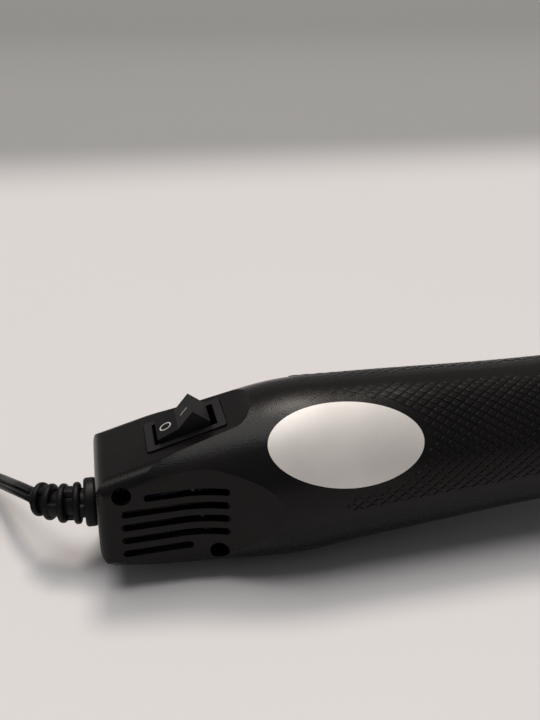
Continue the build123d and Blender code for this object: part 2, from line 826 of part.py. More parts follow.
diode_x = board_x + diode_from_board_rear
diode_height = board_top + diode_radius + seat_gap
with BuildPart() as rectifier_diodes:
    for index in range(diode_count):
        diode_y = (index - (diode_count - 1) / 2) * diode_pitch
        with BuildSketch(Plane(origin=(diode_x, diode_y, diode_height), x_dir=(0, 1, 0), z_dir=(1, 0, 0))):
            Circle(diode_radius)
        extrude(amount=diode_length / 2, both=True)
        half_reach = diode_length / 2 + diode_lead_reach
        lead_foot = board_top + seat_gap
        with BuildLine() as lead_line:
            FilletPolyline(
                (diode_x - half_reach, diode_y, lead_foot),
                (diode_x - half_reach, diode_y, diode_height),
                (diode_x + half_reach, diode_y, diode_height),
                (diode_x + half_reach, diode_y, lead_foot),
                radius=diode_lead_reach / 2,
            )
        with BuildSketch(Plane(origin=lead_line.line @ 0, z_dir=lead_line.line % 0)):
            Circle(diode_lead_radius)
        sweep(path=lead_line.line)
save(rectifier_diodes.part, "rectifier_diodes")

with BuildPart() as capacitor:
    with BuildSketch(Plane.XY.offset(board_top)):
        with Locations((board_x + capacitor_from_board_rear, 0)):
            Rectangle(capacitor_length, capacitor_width)
    extrude(amount=capacitor_height)
    upper_edges = capacitor.edges().filter_by(Axis.Z) + capacitor.edges().group_by(Axis.Z)[-1]
    fillet(upper_edges, radius=capacitor_round)
save(capacitor.part, "capacitor")

# Switch body: bezel, hollow case and pivot holes
pivot_height = bezel_proud - rocker_pivot_depth
pivot = deck_plane.from_local_coords((0, 0, pivot_height))
pivot_plane = Plane(origin=pivot, x_dir=deck_plane.x_dir, z_dir=(0, -1, 0))
off_turn = radians(deck_slope + rocker_throw)
rocker_plane = Plane(origin=pivot, x_dir=(cos(off_turn), 0, sin(off_turn)), z_dir=(0, -1, 0))
rocker_half_width = window_width / 2 - rocker_side_gap
with BuildPart() as switch_body:
    with BuildSketch(deck_plane.offset(bezel_proud)):
        RectangleRounded(bezel_length, bezel_width, bezel_corner_radius)
    extrude(amount=-bezel_thickness)
    with BuildSketch(deck_plane.offset(bezel_proud - bezel_thickness)):
        Rectangle(switch_length, switch_width)
    extrude(amount=-(switch_depth + bezel_proud - bezel_thickness))
    with BuildSketch(deck_plane.offset(bezel_proud)):
        Rectangle(window_length, window_width)
    extrude(amount=-window_depth, mode=Mode.SUBTRACT)
    with BuildSketch(pivot_plane):
        Circle(rocker_pin_radius + running_gap)
    extrude(amount=rocker_half_width + rocker_pin_length + seat_gap, both=True, mode=Mode.SUBTRACT)
save(switch_body.part, "switch_body")

# Rocker, drawn level and then tilted to OFF, its rear end down
with BuildPart() as rocker:
    with BuildSketch(rocker_plane):
        with BuildLine():
            Polyline(
                (-rocker_keel_half_length, -rocker_keel_depth),
                (-rocker_half_length, rocker_foot_height),
                (-rocker_peak_half_length, rocker_peak_height),
                (0, rocker_dip_height),
                (rocker_peak_half_length, rocker_peak_height),
                (rocker_half_length, rocker_foot_height),
                (rocker_keel_half_length, -rocker_keel_depth),
                close=True,
            )
        make_face()
    extrude(amount=rocker_half_width, both=True)
    with BuildSketch(pivot_plane):
        Circle(rocker_pin_radius)
    extrude(amount=rocker_half_width + rocker_pin_length, both=True)
save(rocker.part, "rocker")

with BuildPart() as switch_tabs:
    with BuildSketch(deck_plane.offset(-switch_depth)):
        with GridLocations(switch_tab_pitch, 0, switch_tab_count, 1):
            Rectangle(switch_tab_thickness, switch_tab_width)
    extrude(amount=-switch_tab_length)
save(switch_tabs.part, "switch_tabs")

# Wire stand, leaning forward with its foot on the table
stand_drop = (stand_pivot_height - stand_wire_radius) / cos(radians(stand_lean))
stand_plane = Plane(
    origin=(stand_x, 0, stand_pivot_height),
    x_dir=(0, 1, 0),
    z_dir=(cos(radians(stand_lean)), 0, sin(radians(stand_lean))),
)
with BuildPart() as wire_stand:
    with BuildLine(stand_plane) as stand_line:
        FilletPolyline(
            (-stand_pin_end, 0),
            (-stand_half_width, 0),
            (-stand_half_width, -stand_drop),
            (stand_half_width, -stand_drop),
            (stand_half_width, 0),
            (stand_pin_end, 0),
            radius=stand_bend_radius,
        )
    with BuildSketch(Plane(origin=stand_line.line @ 0, z_dir=stand_line.line % 0)):
        Circle(stand_wire_radius)
    sweep()
save(wire_stand.part, "wire_stand")

# Strain relief: stop inside the wall, flange outside, rings on a tapering core that bends away
relief_start = Vector(rear_x - relief_flange_thickness, 0, relief_height)
relief_tip = Vector(rear_x - relief_tip_back, relief_tip_side, relief_height - relief_tip_drop)
with BuildLine() as relief_line:
    relief_bend = TangentArc(relief_start, relief_tip, tangent=(-1, 0, 0))
relief_place_step = (relief_last_ring_share - relief_first_ring_share) / (relief_ring_count - 1)
relief_radius_step = (relief_last_ring_radius - relief_first_ring_radius) / (relief_ring_count - 1)
with BuildPart() as strain_relief:
    for index in range(relief_ring_count):
        place_share = relief_first_ring_share + index * relief_place_step
        ring_radius = relief_first_ring_radius + index * relief_radius_step
        with BuildSketch(Plane(origin=relief_bend @ place_share, z_dir=relief_bend % place_share)):
            Circle(ring_radius)
        extrude(amount=relief_ring_thickness / 2, both=True)
    fillet(strain_relief.edges().filter_by(GeomType.CIRCLE), radius=relief_ring_round)
    with BuildSketch(across(rear_x - relief_flange_thickness, relief_height)):
        Circle(relief_flange_radius)
    extrude(amount=relief_flange_thickness)
    flange_edges = strain_relief.edges().filter_by(GeomType.CIRCLE).group_by(SortBy.RADIUS)[-1]
    fillet(flange_edges.sort_by(Axis.X)[0], radius=relief_flange_round)
    with BuildSketch(across(rear_x, relief_height)):
        Circle(relief_neck_radius)
    extrude(amount=wall)
    with BuildSketch(across(rear_x + wall, relief_height)):
        Circle(relief_stop_radius)
    extrude(amount=relief_stop_thickness)
    with BuildSketch(Plane(origin=relief_bend @ 0, z_dir=relief_bend % 0)):
        Circle(relief_core_first_radius)
    with BuildSketch(Plane(origin=relief_bend @ 1, z_dir=relief_bend % 1)):
        Circle(relief_core_last_radius)
    sweep(path=relief_line.line, multisection=True)
save(strain_relief.part, "strain_relief")

# Leads: switch and board, motor, heater
tab_outer = (switch_tab_pitch + switch_tab_thickness) / 2
tab_joint_depth = switch_depth + switch_tab_length - 1.5 * lead_radius
rear_tab = deck_plane.from_local_coords((-tab_outer, 0, -tab_joint_depth))
front_tab = deck_plane.from_local_coords((tab_outer, 0, -tab_joint_depth))
relief_inner_x = rear_x + wall + relief_stop_thickness + lead_radius / 2
board_edge_height = board_height + board_thickness / 2
rear_tab_lead = [
    (relief_inner_x, lead_spread, relief_height),
    (relief_inner_x + lead_run, lead_spread, relief_height - lead_spread),
    rear_tab - deck_plane.x_dir * lead_run / 2 + Vector(0, lead_spread, 0),
    rear_tab + Vector(0, lead_spread, 0),
]
board_lead = [
    (relief_inner_x, -lead_spread, relief_height),
    (relief_inner_x + lead_run, -lead_spread, lead_low_height),
    (board_x - 2 * lead_run, -lead_spread, lead_low_height),
    (board_x - lead_run, -lead_spread, board_edge_height),
    (board_x, -lead_spread, board_edge_height),
]
return_lead = [
    front_tab,
    front_tab + deck_plane.x_dir * lead_run / 2,
    (board_x - lead_run, return_lead_offset, board_edge_height),
    (board_x, return_lead_offset, board_edge_height),
]
with BuildPart() as mains_leads:
    for points in (rear_tab_lead, board_lead, return_lead):
        add(tube(points, lead_bend_radius, lead_radius, "mains lead"))
save(mains_leads.part, "mains_leads")

board_front_x = board_x + board_length
motor_tab_outer = motor_tab_offset + motor_tab_thickness / 2
motor_tab_x = motor_cap_x - motor_tab_length + 1.5 * lead_radius
with BuildPart() as motor_leads:
    for side in (-1, 1):
        points = [
            (board_front_x, side * motor_lead_offset, board_edge_height),
            (motor_tab_x - lead_run, side * motor_lead_offset, board_edge_height),
            (motor_tab_x, side * (motor_tab_outer + motor_lead_reach), front_axis_height - lead_run),
            (motor_tab_x, side * (motor_tab_outer + motor_lead_reach), front_axis_height),
            (motor_tab_x, side * motor_tab_outer, front_axis_height),
        ]
        add(tube(points, lead_bend_radius, lead_radius, "motor lead"))
save(motor_leads.part, "motor_leads")

# Both end on the heater base, between two of its holes
hole_half_step = pi / heater_base_hole_count
heater_lead_side = heater_base_hole_ring * sin(hole_half_step)
heater_lead_high = front_axis_height - heater_base_hole_ring * cos(hole_half_step)
heater_lead_low = front_axis_height - sqrt(
    (fan_radius + heater_lead_clearance + lead_radius) ** 2 - heater_lead_side**2
)
with BuildPart() as heater_leads:
    for side in (-1, 1):
        points = [
            (board_front_x, side * heater_lead_side, board_edge_height),
            (board_front_x + lead_run, side * heater_lead_side, heater_lead_low),
            (shaft_front_x + lead_spread, side * heater_lead_side, heater_lead_low),
            (front_screw_x - lead_spread, side * heater_lead_side, heater_lead_high),
            (sleeve_x, side * heater_lead_side, heater_lead_high),
        ]
        add(tube(points, lead_bend_radius, lead_radius, "heater lead"))
save(heater_leads.part, "heater_leads")

# Cord: out of the strain relief, down to the table and into the coil
coil_low = running_gap + tie_wall + running_gap + cord_diameter / 2
coil_high = coil_low + coil_layer_pitch
coil_outer_radius = coil_inner_radius + coil_turns * coil_pitch
cord_points = [
    (-131.6, 6.7, 17.0),
    (-136.5, 14.5, 15.2),
    (-140.3, 23.0, 11.8),
    (-144.0, 32.0, 8.2),
    (-149.5, 41.0, 5.2),
    (-158.5, 47.3, 3.3),
    (-172.25, 50.0, 2.9),
    (-189.97, 46.88, 2.9),
]
cord_radii = corner_radii(cord_points)
print("cord bends", [round(radius) for radius in cord_radii])
save(tube(cord_points, cord_radii, cord_diameter / 2, "cord"), "cord")


def cord_coil_point(turn):
    """Inwards on the table, up a layer in half a turn, then outwards on top."""
    climb = min(max((turn - coil_turns) / 0.5, 0), 1)
    inward = min(turn, coil_turns)
    outward = max(turn - coil_turns - 0.5, 0)
    radius = coil_outer_radius - coil_pitch * (inward - outward) - coil_reversal_dip * sin(pi * climb) ** 2
    angle = radians(coil_entry_bearing) + 2 * pi * turn
    return Vector(
        coil_centre[0] + radius * cos(angle),
        coil_centre[1] + radius * sin(angle),
        coil_low + coil_layer_pitch * (1 - cos(pi * climb)) / 2,
    )


lower_stops = [half / 2 for half in range(2 * coil_turns + 1)]
upper_stops = [coil_turns + (half + 1) / 2 for half in range(int(2 * coil_return_turns) + 1)]
cord_coil = wound_tube(
    cord_coil_point, lower_stops + [coil_turns + 0.25] + upper_stops, cord_diameter / 2, "cord coil"
)
save(cord_coil, "cord_coil")

cord_tail_points = [
    (-190.39, 49.24, 7.6),
    (-201.22, 47.33, 7.6),
    (-213.0, 42.5, 7.2),
    (-222.0, 35.5, 6.85),
    (-229.46, 28.54, 6.85),
]
cord_tail_radii = corner_radii(cord_tail_points)
print("cord tail bends", [round(radius) for radius in cord_tail_radii])
save(tube(cord_tail_points, cord_tail_radii, cord_diameter / 2, "cord tail"), "cord_tail")

# Band round the coil, where its cords lie a quarter turn before the entry
tie_inner = coil_inner_radius + coil_pitch / 4 - cord_diameter / 2 - tie_gap
tie_outer = coil_outer_radius - 3 * coil_pitch / 4 + cord_diameter / 2 + tie_gap
tie_low = running_gap + tie_wall
tie_high = coil_high + cord_diameter / 2 + tie_gap
tie_bearing = radians(coil_entry_bearing - 90)
tie_plane = Plane(
    origin=(coil_centre[0], coil_centre[1], 0),
    x_dir=(cos(tie_bearing), sin(tie_bearing), 0),
    z_dir=(sin(tie_bearing), -cos(tie_bearing), 0),
)
tie_across = tie_outer - tie_inner
tie_up = tie_high - tie_low
with BuildPart() as cord_tie:
    with BuildSketch(tie_plane):
        with Locations((tie_inner + tie_across / 2, tie_low + tie_up / 2)):
            RectangleRounded(tie_across + 2 * tie_wall, tie_up + 2 * tie_wall, tie_corner_radius + tie_wall)
            RectangleRounded(tie_across, tie_up, tie_corner_radius, mode=Mode.SUBTRACT)
    extrude(amount=tie_width / 2, both=True)
save(cord_tie.part, "cord_tie")

# Flat two-pin plug, lying on the table
plug_plane = Plane(
    origin=cord_tail_points[-1],
    x_dir=(cos(radians(plug_bearing)), sin(radians(plug_bearing)), 0),
    z_dir=(0, 0, 1),
)
plug_face = Plane(
    origin=plug_plane.from_local_coords((plug_length, 0, 0)), x_dir=plug_plane.y_dir, z_dir=plug_plane.x_dir
)
with BuildPart() as plug_body:
    with BuildSketch(plug_plane):
        with BuildLine():
            Polyline(
                (0, -plug_tail_width / 2),
                (plug_length - plug_face_length, -plug_width / 2),
                (plug_length, -plug_width / 2),
                (plug_length, plug_width / 2),
                (plug_length - plug_face_length, plug_width / 2),
                (0, plug_tail_width / 2),
                close=True,
            )
        make_face()
    extrude(amount=plug_thickness / 2, both=True)
    fillet(plug_body.edges(), radius=plug_round)
    with BuildSketch(plug_face):
        with GridLocations(plug_pin_pitch, 0, 2, 1):
            Circle(plug_pin_sleeve_radius)
    extrude(amount=plug_sleeve_length)
    with BuildSketch(plug_face.offset(-plug_pin_root)):
        with GridLocations(plug_pin_pitch, 0, 2, 1):
            Circle(plug_pin_core_radius + running_gap)
    extrude(amount=plug_pin_root + plug_sleeve_length, mode=Mode.SUBTRACT)
save(plug_body.part, "plug_body")

with BuildPart() as plug_pins:
    with BuildSketch(plug_face.offset(-plug_pin_root)):
        with GridLocations(plug_pin_pitch, 0, 2, 1):
            Circle(plug_pin_core_radius)
    extrude(amount=plug_pin_root + plug_sleeve_length + running_gap)
    with BuildSketch(plug_face.offset(plug_sleeve_length + running_gap)):
        with GridLocations(plug_pin_pitch, 0, 2, 1):
            Circle(plug_pin_radius)
    extrude(amount=plug_pin_length - plug_sleeve_length - running_gap)
    tip_edges = plug_pins.edges().filter_by(GeomType.CIRCLE).sort_by(Axis(plug_face.origin, plug_face.z_dir))
    fillet(tip_edges[-2:], radius=plug_pin_core_radius)
save(plug_pins.part, "plug_pins")
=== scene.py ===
import json
from math import acos, cos, pi, radians, sin

import bmesh
import bpy
from mathutils import Euler, Matrix, Vector
from mathutils.bvhtree import BVHTree


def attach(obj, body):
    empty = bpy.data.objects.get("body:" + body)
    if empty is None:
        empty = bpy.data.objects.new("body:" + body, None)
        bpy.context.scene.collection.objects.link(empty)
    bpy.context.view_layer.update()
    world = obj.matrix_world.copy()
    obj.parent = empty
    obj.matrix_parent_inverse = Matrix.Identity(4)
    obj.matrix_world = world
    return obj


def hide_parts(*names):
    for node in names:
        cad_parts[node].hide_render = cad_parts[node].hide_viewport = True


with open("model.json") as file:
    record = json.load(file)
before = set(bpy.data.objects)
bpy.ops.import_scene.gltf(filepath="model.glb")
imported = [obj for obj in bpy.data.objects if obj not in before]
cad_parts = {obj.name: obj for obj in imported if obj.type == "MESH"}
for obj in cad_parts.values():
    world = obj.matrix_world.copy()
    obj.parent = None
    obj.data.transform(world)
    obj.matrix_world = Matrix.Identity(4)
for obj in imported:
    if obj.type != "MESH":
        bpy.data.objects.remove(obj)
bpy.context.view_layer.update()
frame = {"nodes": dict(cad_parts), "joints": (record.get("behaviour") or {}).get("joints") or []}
nodes = frame["nodes"]
print("frame loaded,", len(nodes), "nodes")


# shaders: sums on sockets, and one way to add any other node


class Wire:
    # an output socket; sums on it add Math nodes
    def __init__(self, shaderTree, socket):
        self.shaderTree = shaderTree
        self.socket = socket

    def math(self, operation, first, second=0.0):
        return self.shaderTree.node("ShaderNodeMath", {"operation": operation}, {0: first, 1: second})

    def __add__(self, other):
        return self.math("ADD", self, other)

    def __radd__(self, other):
        return self.math("ADD", other, self)

    def __sub__(self, other):
        return self.math("SUBTRACT", self, other)

    def __rsub__(self, other):
        return self.math("SUBTRACT", other, self)

    def __mul__(self, other):
        return self.math("MULTIPLY", self, other)

    def __rmul__(self, other):
        return self.math("MULTIPLY", other, self)

    def __gt__(self, other):
        return self.math("GREATER_THAN", self, other)

    def __lt__(self, other):
        return self.math("LESS_THAN", self, other)

    def __abs__(self):
        return self.math("ABSOLUTE", self)


class ShaderTree:
    # the nodes of a material or of the world
    def __init__(self, tree):
        self.tree = tree

    def feed(self, socket, value):
        if isinstance(value, Wire):
            self.tree.links.new(value.socket, socket)
        else:
            socket.default_value = value

    def node(self, kind, settings=None, inputs=None, output=0):
        made = self.tree.nodes.new(kind)
        for key, value in (settings or {}).items():
            setattr(made, key, value)
        for key, value in (inputs or {}).items():
            self.feed(made.inputs[key], value)
        return Wire(self, made.outputs[output])


class Surface(ShaderTree):
    # a material with a Principled shader; what varies comes in as wires
    def __init__(self, name, color, roughness, metallic=0.0, gloss=0.5):
        self.material = bpy.data.materials.new(name)
        self.material.use_nodes = True
        super().__init__(self.material.node_tree)
        self.shader = self.tree.nodes["Principled BSDF"]
        self.coordinates = self.node("ShaderNodeTexCoord", output="Object")
        self.set("Base Color", (*color, 1.0))
        self.set("Roughness", roughness)
        self.set("Metallic", metallic)
        self.set("Specular IOR Level", gloss)

    def set(self, name, value):
        self.feed(self.shader.inputs[name], value)

    def axis(self, name):
        return self.node("ShaderNodeSeparateXYZ", None, {0: self.coordinates}, name)

    def noise(self, size, detail=2.0, stretch=(1.0, 1.0, 1.0)):
        # size of the speckles in metres
        scaled = self.node(
            "ShaderNodeVectorMath", {"operation": "MULTIPLY"}, {0: self.coordinates, 1: stretch}
        )
        inputs = {"Vector": scaled, "Scale": 1.0 / size, "Detail": detail}
        return self.node("ShaderNodeTexNoise", None, inputs)

    def band(self, value, low, high):
        # 0 below low, 1 above high, smooth between
        return self.node(
            "ShaderNodeMapRange",
            {"interpolation_type": "SMOOTHSTEP"},
            {"Value": value, "From Min": low, "From Max": high},
        )

    def blend(self, share, first, second):
        # first where share is 0, second where it is 1; inputs 6 and 7 are the node's two colours
        tones = [tone if isinstance(tone, Wire) else (*tone, 1.0) for tone in (first, second)]
        inputs = {"Factor": share, 6: tones[0], 7: tones[1]}
        return self.node("ShaderNodeMix", {"data_type": "RGBA"}, inputs, output=2)

    def bump(self, height, depth):
        # depth in metres
        inputs = {"Strength": 1.0, "Distance": depth, "Height": height}
        self.set("Normal", self.node("ShaderNodeBump", None, inputs))


# finishes: each kind has its values first and then its maker

# size in metres and detail of each noise
speckles = dict(
    mould=(0.02, 2.0),
    cloud=(0.012, 3.0),
    streak=(0.0006, 3.0),
    stain=(0.015, 2.0),
    scales=(0.0016, 4.0),
    layers=(0.005, 2.0),
    sleeving=(0.0005, 2.0),
    weave=(0.0004, 1.0),
    tracks=(0.006, 0.0),
    table=(0.12, 2.0),
)
# the two values of a noise between which a change fades in
fades = dict(
    mould=(0.35, 0.7),
    cloud=(0.3, 0.7),
    streak=(0.3, 0.75),
    scales=(0.45, 0.62),
    layers=(0.4, 0.7),
)
noiseMiddle = 0.5


def around(noise, share):
    # a share of a noise, up and down from its middle
    return share * (noise - noiseMiddle)


mouldedBlack = dict(
    color=(0.0034, 0.0029, 0.003),
    tint=(0.0052, 0.0044, 0.0043),
    roughness=0.27,
    cloudGloss=0.08,
    grainGloss=0.12,
    gloss=0.16,
    grain=0.00038,
    relief=0.00004,
    seamHalf=0.00005,
    seamFade=0.00016,
    seamDepth=2.5,
)
mouldedFinishes = {
    "shell black plastic": mouldedBlack,
    "collar black plastic": {**mouldedBlack, "seamDepth": 0.0},
    "grip black plastic": {**mouldedBlack, "seamDepth": 0.0, "roughness": 0.3},
}


def makeMoulded(name, **finish):
    surface = Surface(name, finish["color"], finish["roughness"], gloss=finish["gloss"])
    cloud = surface.noise(*speckles["mould"])
    grain = surface.noise(finish["grain"])
    tone = surface.blend(surface.band(cloud, *fades["mould"]), finish["color"], finish["tint"])
    surface.set("Base Color", tone)
    unevenness = around(cloud, finish["cloudGloss"]) + around(grain, finish["grainGloss"])
    surface.set("Roughness", finish["roughness"] + unevenness)
    height = grain
    if finish["seamDepth"]:  # hairline where the two shells meet
        joint = 1.0 - surface.band(abs(surface.axis("Y")), finish["seamHalf"], finish["seamFade"])
        height = height - finish["seamDepth"] * joint
    surface.bump(height, finish["relief"])
    return surface.material


plainFinishes = {
    "bezel black plastic": dict(
        color=(0.0085, 0.0078, 0.0082), roughness=0.36, speckle=0.0005, gloss=0.3
    ),
    "rocker black plastic": dict(
        color=(0.0085, 0.008, 0.0085), roughness=0.42, spread=0.05, relief=0.000002, gloss=0.1
    ),
    "printed white": dict(color=(0.6, 0.6, 0.58), roughness=0.5, spread=0.04),
    "relief black rubber": dict(
        color=(0.004, 0.0037, 0.004), roughness=0.45, speckle=0.0004, relief=0.00002, gloss=0.16
    ),
    "flex black vinyl": dict(
        color=(0.005, 0.0047, 0.005), roughness=0.36, speckle=0.0007, gloss=0.25
    ),
    "plug black plastic": dict(
        color=(0.014, 0.013, 0.0135), roughness=0.42, speckle=0.0005, relief=0.00002
    ),
    "plate silver foil": dict(
        color=(0.77, 0.735, 0.705),
        roughness=0.44,
        metallic=0.2,
        speckle=0.0006,
        spread=0.04,
        relief=0.000006,
    ),
    "screw black oxide": dict(
        color=(0.03, 0.03, 0.031), roughness=0.42, metallic=0.9, spread=0.12
    ),
    "pale moulded plastic": dict(color=(0.68, 0.65, 0.58), roughness=0.45, spread=0.05),
    "capacitor dip": dict(color=(0.42, 0.13, 0.02), roughness=0.28, spread=0.08),
    "diode black": dict(color=(0.02, 0.02, 0.02), roughness=0.4),
}


def makePlain(
    name, color, roughness, metallic=0.0, speckle=0.0008, spread=0.1, relief=0.00001, gloss=0.5
):
    # one colour with faint clouds, uneven gloss and a fine grain
    surface = Surface(name, color, roughness, metallic, gloss)
    cloud = surface.noise(*speckles["cloud"])
    grain = surface.noise(speckle)
    darker = tuple(channel * (1.0 - 2.0 * spread) for channel in color)
    surface.set("Base Color", surface.blend(surface.band(cloud, *fades["cloud"]), darker, color))
    surface.set("Roughness", roughness + around(cloud, spread) + around(grain, spread))
    surface.bump(grain, relief)
    return surface.material


brushed = dict(wornShare=0.82, heatShare=0.5, streakGloss=0.16, stainGloss=0.1)
brushedFinishes = {
    "nozzle drawn steel": dict(
        color=(0.62, 0.6, 0.57),
        roughness=0.27,
        stretch=(8.0, 1.0, 1.0),
        heat=dict(start=0.098, end=0.116, straw=(0.62, 0.5, 0.33)),
    ),
    "motor zinc plate": dict(color=(0.55, 0.55, 0.54), roughness=0.3, stretch=(1.0, 6.0, 6.0)),
    "stand bright wire": dict(
        color=(0.68, 0.68, 0.68), roughness=0.16, stretch=(0.3, 1.0, 1.0), relief=0.000002
    ),
    "pin nickel plate": dict(
        color=(0.66, 0.63, 0.57), roughness=0.22, stretch=(1.0, 1.0, 3.0), relief=0.000003
    ),
    "tab brass": dict(color=(0.34, 0.25, 0.115), roughness=0.45, stretch=(1.0, 1.0, 4.0)),
    "heater wire": dict(
        color=(0.38, 0.36, 0.34), roughness=0.4, stretch=(1.0, 1.0, 1.0), relief=0.000006
    ),
    "fuse metal": dict(color=(0.66, 0.62, 0.52), roughness=0.3, stretch=(1.0, 5.0, 5.0)),
}


def makeBrushed(name, color, roughness, stretch, relief=0.000004, heat=None):
    # drawn or turned metal: streaks along the axis where stretch is small
    surface = Surface(name, color, roughness, metallic=1.0)
    streak = surface.noise(*speckles["streak"], stretch)
    stain = surface.noise(*speckles["stain"])
    worn = tuple(channel * brushed["wornShare"] for channel in color)
    tone = surface.blend(surface.band(streak, *fades["streak"]), worn, color)
    if heat:  # straw tint towards a hot end
        hot = surface.band(surface.axis("X"), heat["start"], heat["end"])
        tone = surface.blend(hot * brushed["heatShare"], tone, heat["straw"])
    surface.set("Base Color", tone)
    unevenStreak = around(streak, brushed["streakGloss"])
    surface.set("Roughness", roughness + unevenStreak + around(stain, brushed["stainGloss"]))
    surface.bump(streak, relief)
    return surface.material


micaFinishes = {
    "mica sheet": dict(
        color=(0.5, 0.44, 0.32), fleck=(0.72, 0.66, 0.52), roughness=0.5, polish=0.3, relief=0.00003
    ),
}


def makeMica(name, color, fleck, roughness, polish, relief):
    # sheet with paler scales and glossier layers
    surface = Surface(name, color, roughness)
    scales = surface.noise(*speckles["scales"])
    layers = surface.noise(*speckles["layers"])
    surface.set("Base Color", surface.blend(surface.band(scales, *fades["scales"]), color, fleck))
    surface.set("Roughness", roughness - polish * surface.band(layers, *fades["layers"]))
    surface.bump(scales, relief)
    return surface.material


sleeving = dict(roughness=0.42, grainGloss=0.15, relief=0.00001)
leadFinishes = {
    "mains sleeving": dict(first=(0.035, 0.014, 0.007), second=(0.006, 0.016, 0.07)),
    "motor sleeving": dict(first=(0.02, 0.02, 0.02), second=(0.45, 0.02, 0.015)),
    "heater sleeving": dict(first=(0.6, 0.58, 0.52), second=(0.6, 0.55, 0.45)),
}


def makeLeads(name, first, second):
    # sleeving in two colours, one each side of the part's middle
    surface = Surface(name, first, sleeving["roughness"])
    side = surface.axis("Y") > 0.0
    grain = surface.noise(*speckles["sleeving"])
    surface.set("Base Color", surface.blend(side, first, second))
    surface.set("Roughness", sleeving["roughness"] + around(grain, sleeving["grainGloss"]))
    surface.bump(grain, sleeving["relief"])
    return surface.material


boardFinishes = {
    "board green mask": dict(
        mask=(0.03, 0.13, 0.045),
        track=(0.06, 0.22, 0.08),
        trackHalf=0.03,
        roughness=0.35,
        weaveStretch=(1.0, 4.0, 1.0),
        weaveGloss=0.1,
        weaveHeight=0.3,
        relief=0.00003,
    ),
}


def makeBoard(name, **finish):
    # green mask over a glass weave, with the tracks showing through
    surface = Surface(name, finish["mask"], finish["roughness"])
    weave = surface.noise(*speckles["weave"], finish["weaveStretch"])
    tracks = abs(surface.noise(*speckles["tracks"]) - noiseMiddle) < finish["trackHalf"]
    surface.set("Base Color", surface.blend(tracks, finish["mask"], finish["track"]))
    surface.set("Roughness", finish["roughness"] + finish["weaveGloss"] * weave)
    surface.bump(tracks + finish["weaveHeight"] * weave, finish["relief"])
    return surface.material


kinds = (
    (makeMoulded, mouldedFinishes),
    (makePlain, plainFinishes),
    (makeBrushed, brushedFinishes),
    (makeMica, micaFinishes),
    (makeLeads, leadFinishes),
    (makeBoard, boardFinishes),
)
finishes = {
    name: maker(name, **values) for maker, family in kinds for name, values in family.items()
}

finishOfPiece = {
    "right_shell": "shell black plastic",
    "left_shell": "shell black plastic",
    "front_collar": "collar black plastic",
    "housing_screws": "screw black oxide",
    "rating_plate": "plate silver foil",
    "switch_body": "bezel black plastic",
    "rocker": "rocker black plastic",
    "switch_tabs": "tab brass",
    "strain_relief": "relief black rubber",
    "cord": "flex black vinyl",
    "cord_coil": "flex black vinyl",
    "cord_tail": "flex black vinyl",
    "cord_tie": "relief black rubber",
    "plug_body": "plug black plastic",
    "plug_pins": "pin nickel plate",
    "nozzle_tube": "nozzle drawn steel",
    "mica_sleeve": "mica sheet",
    "mica_cross": "mica sheet",
    "heating_coil": "heater wire",
    "heater_base": "mica sheet",
    "thermostat": "motor zinc plate",
    "thermal_fuse": "fuse metal",
    "motor_can": "motor zinc plate",
    "motor_end_cap": "pale moulded plastic",
    "motor_tabs": "tab brass",
    "motor_shaft": "motor zinc plate",
    "motor_cage": "pale moulded plastic",
    "fan": "pale moulded plastic",
    "circuit_board": "board green mask",
    "rectifier_diodes": "diode black",
    "capacitor": "capacitor dip",
    "mains_leads": "mains sleeving",
    "motor_leads": "motor sleeving",
    "heater_leads": "heater sleeving",
    "wire_stand": "stand bright wire",
}
for nodeName, finishName in finishOfPiece.items():
    slots = nodes[nodeName].data.materials
    slots.clear()
    slots.append(finishes[finishName])
print(len(finishes), "finishes set")


# meshes


def addObject(name, data):
    made = bpy.data.objects.new(name, data)
    bpy.context.scene.collection.objects.link(made)
    return made


def makeMesh(name, bm, material):
    mesh = bpy.data.meshes.new(name)
    bm.to_mesh(mesh)
    bm.free()
    mesh.materials.append(material)
    return mesh


def makePiece(name, bm, material, body, smooth=True):
    bmesh.ops.recalc_face_normals(bm, faces=bm.faces)
    mesh = makeMesh(name, bm, material)
    for polygon in mesh.polygons:
        polygon.use_smooth = smooth
    piece = addObject(name, mesh)
    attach(piece, body)
    return piece


def circle(radius, steps, along=0.0):
    turns = [2 * pi * index / steps for index in range(steps)]
    return [(radius * cos(turn), radius * sin(turn), along) for turn in turns]


def rectangle(length, width):
    corners = ((-1, -1), (1, -1), (1, 1), (-1, 1))
    return [(x * length / 2, y * width / 2, 0) for x, y in corners]


def makeLoop(bm, place, spots):
    # new vertices at spots in the local axes of place
    return [bm.verts.new(place @ Vector(spot)) for spot in spots]


def joinLoops(bm, loops, closed=False):
    # skin of quads between loops that have the same number of points
    pairs = list(zip(loops, loops[1:]))
    if closed:
        pairs.append((loops[-1], loops[0]))
    for low, high in pairs:
        for index in range(len(low)):
            following = (index + 1) % len(low)
            bm.faces.new((low[index], low[following], high[following], high[index]))


def turnProfile(bm, place, profile, steps):
    # profile of (radius, along) turned about the local Z of place, closed on itself
    loops = [makeLoop(bm, place, circle(radius, steps, along)) for radius, along in profile]
    joinLoops(bm, loops, closed=True)


def placeFrom(point, xAxis, yAxis, zAxis):
    return Matrix.Translation(point) @ Matrix((xAxis, yAxis, zAxis)).transposed().to_4x4()


def frameAt(point, direction):
    # matrix with Z along direction and Y as near to upright as it goes
    zAxis = direction.normalized()
    xAxis = Vector((0, 0, 1)).cross(zAxis).normalized()
    return placeFrom(point, xAxis, zAxis.cross(xAxis), zAxis)


# cord: out of the relief, down to the table, into a tied coil outside the view, then the plug

